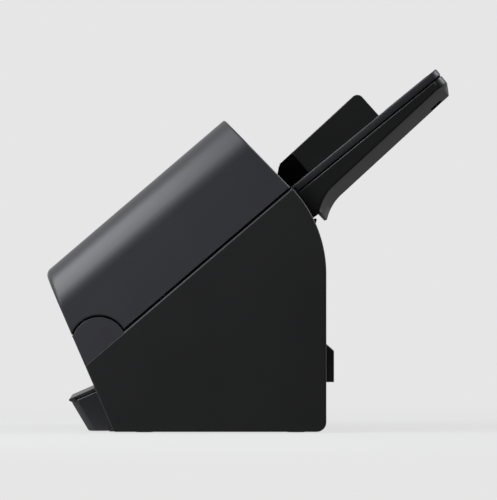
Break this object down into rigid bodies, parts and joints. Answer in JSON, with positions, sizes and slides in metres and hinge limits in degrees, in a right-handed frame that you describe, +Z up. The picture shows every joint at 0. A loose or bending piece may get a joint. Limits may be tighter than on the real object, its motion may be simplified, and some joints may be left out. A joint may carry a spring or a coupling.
{
  "type": "document scanner",
  "caption": "Desktop sheet-fed document scanner with a forward-opening cover, a sloping input tray with coupled side guides and a pull-out output tray with a hinged stop.",
  "frame": {"origin": "On the table under the middle of the whole object's box", "axes": "+Z up, +X to the rear (the front faces -X), +Y across the width to the operator's left-hand side"},
  "size_m": [0.2948, 0.312, 0.2666],
  "materials": {
    "satin_dark_grey": "satin moulded, dark grey",
    "matt_black": "fine grained, black",
    "deep_black": "matt, near black",
    "tray_grey": "fine grained, charcoal",
    "green_key": "gloss, green",
    "panel_gloss": "gloss, black",
    "plated_steel": "zinc plated",
    "roller_rubber": "ground, grey",
    "black_rubber": "matt, black",
    "white_acetal": "smooth, white",
    "circuit_board": "solder resist, green",
    "clear_glass": "clear"
  },
  "bodies": {
    "base": {"base_pan": "matt_black", "right_side_cover": "matt_black", "left_side_cover": "matt_black", "right_hinge_cap": "satin_dark_grey", "left_hinge_cap": "satin_dark_grey", "exit_cover": "satin_dark_grey", "front_panel": "matt_black", "rear_cover": "deep_black", "connector_block": "deep_black", "dc_jack": "deep_black", "usb_port": "plated_steel", "right_side_frame": "plated_steel", "left_side_frame": "plated_steel", "hinge_pins": "plated_steel", "lower_paper_guide": "deep_black", "lower_camera": "deep_black", "lower_glass": "clear_glass", "roller_bushes": "white_acetal", "motor_body": "plated_steel", "drive_belts": "black_rubber", "main_board": "circuit_board", "rubber_feet": "black_rubber", "tie_bars": "plated_steel", "side_cover_screws": "plated_steel", "latch_keepers": "plated_steel", "tray_plate": "tray_grey", "tray_housing": "deep_black"},
    "cover": {"cover_shell": "satin_dark_grey", "upper_paper_guide": "deep_black", "hinge_arms": "plated_steel", "upper_camera": "deep_black", "upper_glass": "clear_glass", "panel_bezel": "panel_gloss", "display_window": "clear_glass", "panel_board": "circuit_board"},
    "latch": {"latch_shaft": "plated_steel", "latch_hooks": "deep_black", "release_lever": "matt_black"},
    "start_key": {"start_button": "green_key"},
    "stop_key": {"stop_button": "tray_grey"},
    "up_key": {"up_button": "tray_grey"},
    "down_key": {"down_button": "tray_grey"},
    "feed_roller": {"feed_shaft": "plated_steel", "feed_tyres": "roller_rubber"},
    "rear_drive_roller": {"rear_drive_shaft": "plated_steel", "rear_drive_tyres": "roller_rubber"},
    "front_drive_roller": {"front_drive_shaft": "plated_steel", "front_drive_tyres": "roller_rubber"},
    "motor_rotor": {"motor_pulley": "plated_steel"},
    "separation_roller": {"separation_shaft": "plated_steel", "separation_tyres": "roller_rubber"},
    "rear_idler_roller": {"rear_idlers": "white_acetal"},
    "front_idler_roller": {"front_idlers": "white_acetal"},
    "right_paper_guide": {"right_guide": "matt_black"},
    "left_paper_guide": {"left_guide": "matt_black"},
    "pinion": {"guide_pinion": "white_acetal"},
    "input_extension": {"tray_extension": "tray_grey"},
    "output_stage": {"output_tray": "matt_black"},
    "output_front": {"output_extension": "matt_black"},
    "stop_plate": {"paper_stop": "tray_grey"}
  },
  "joints": [
    {"name": "cover_hinge", "type": "hinge", "parent": "base", "child": "cover", "pos_m": [-0.10892, 0, 0.0645], "axis": [0, -1, 0], "range_deg": [0, 65]},
    {"name": "latch_turn", "type": "hinge", "parent": "cover", "child": "latch", "pos_m": [-0.00555, 0, 0.18988], "axis": [0, 1, 0], "range_deg": [0, 12], "stiffness_Nm_per_rad": 0.35, "springref_deg": -20.05},
    {"name": "start_press", "type": "slide", "parent": "cover", "child": "start_key", "axis": [0.6494, 0, -0.7604], "range_m": [0, 0.0008], "stiffness_N_per_m": 250, "springref_m": -0.0012},
    {"name": "stop_press", "type": "slide", "parent": "cover", "child": "stop_key", "axis": [0.6494, 0, -0.7604], "range_m": [0, 0.0008], "stiffness_N_per_m": 250, "springref_m": -0.0012},
    {"name": "up_press", "type": "slide", "parent": "cover", "child": "up_key", "axis": [0.6494, 0, -0.7604], "range_m": [0, 0.0008], "stiffness_N_per_m": 250, "springref_m": -0.0012},
    {"name": "down_press", "type": "slide", "parent": "cover", "child": "down_key", "axis": [0.6494, 0, -0.7604], "range_m": [0, 0.0008], "stiffness_N_per_m": 250, "springref_m": -0.0012},
    {"name": "feed_spin", "type": "hinge", "parent": "base", "child": "feed_roller", "pos_m": [0.00625, 0, 0.14209], "axis": [0, 1, 0], "continuous": true},
    {"name": "rear_drive_spin", "type": "hinge", "parent": "base", "child": "rear_drive_roller", "pos_m": [-0.02216, 0, 0.12308], "axis": [0, 1, 0], "continuous": true},
    {"name": "front_drive_spin", "type": "hinge", "parent": "base", "child": "front_drive_roller", "pos_m": [-0.07089, 0, 0.08146], "axis": [0, 1, 0], "continuous": true},
    {"name": "motor_spin", "type": "hinge", "parent": "base", "child": "motor_rotor", "pos_m": [0.00698, 0, 0.055], "axis": [0, 1, 0], "continuous": true},
    {"name": "separation_spin", "type": "hinge", "parent": "cover", "child": "separation_roller", "pos_m": [-0.00882, 0, 0.15973], "axis": [0, 1, 0], "continuous": true},
    {"name": "rear_idler_spin", "type": "hinge", "parent": "cover", "child": "rear_idler_roller", "pos_m": [-0.03138, 0, 0.13388], "axis": [0, 1, 0], "continuous": true},
    {"name": "front_idler_spin", "type": "hinge", "parent": "cover", "child": "front_idler_roller", "pos_m": [-0.08011, 0, 0.09226], "axis": [0, 1, 0], "continuous": true},
    {"name": "right_guide_slide", "type": "slide", "parent": "base", "child": "right_paper_guide", "axis": [0, 1, 0], "range_m": [0, 0.08]},
    {"name": "left_guide_slide", "type": "slide", "parent": "base", "child": "left_paper_guide", "axis": [0, 1, 0], "range_m": [-0.08, 0]},
    {"name": "pinion_turn", "type": "hinge", "parent": "base", "child": "pinion", "pos_m": [0.07355, 0, 0.20053], "axis": [-0.6327, 0, 0.7744], "range_deg": [-5, 515]},
    {"name": "input_extension_slide", "type": "slide", "parent": "base", "child": "input_extension", "axis": [0.7744, 0, 0.6327], "range_m": [0, 0.07]},
    {"name": "output_tray_slide", "type": "slide", "parent": "base", "child": "output_stage", "axis": [-1, 0, 0], "range_m": [0, 0.09]},
    {"name": "output_extension_slide", "type": "slide", "parent": "output_stage", "child": "output_front", "axis": [-1, 0, 0], "range_m": [0, 0.08]},
    {"name": "paper_stop_turn", "type": "hinge", "parent": "output_front", "child": "stop_plate", "pos_m": [-0.1304, 0, 0.02349], "axis": [0, -1, 0], "range_deg": [0, 75]}
  ],
  "couplings": [
    {"joint": "rear_drive_spin", "follows": "feed_spin", "ratio": 1},
    {"joint": "front_drive_spin", "follows": "feed_spin", "ratio": 1},
    {"joint": "motor_spin", "follows": "feed_spin", "ratio": 1.4043},
    {"joint": "left_guide_slide", "follows": "right_guide_slide", "ratio": -1},
    {"joint": "pinion_turn", "follows": "right_guide_slide", "rad_per_m": 111.11}
  ]
}
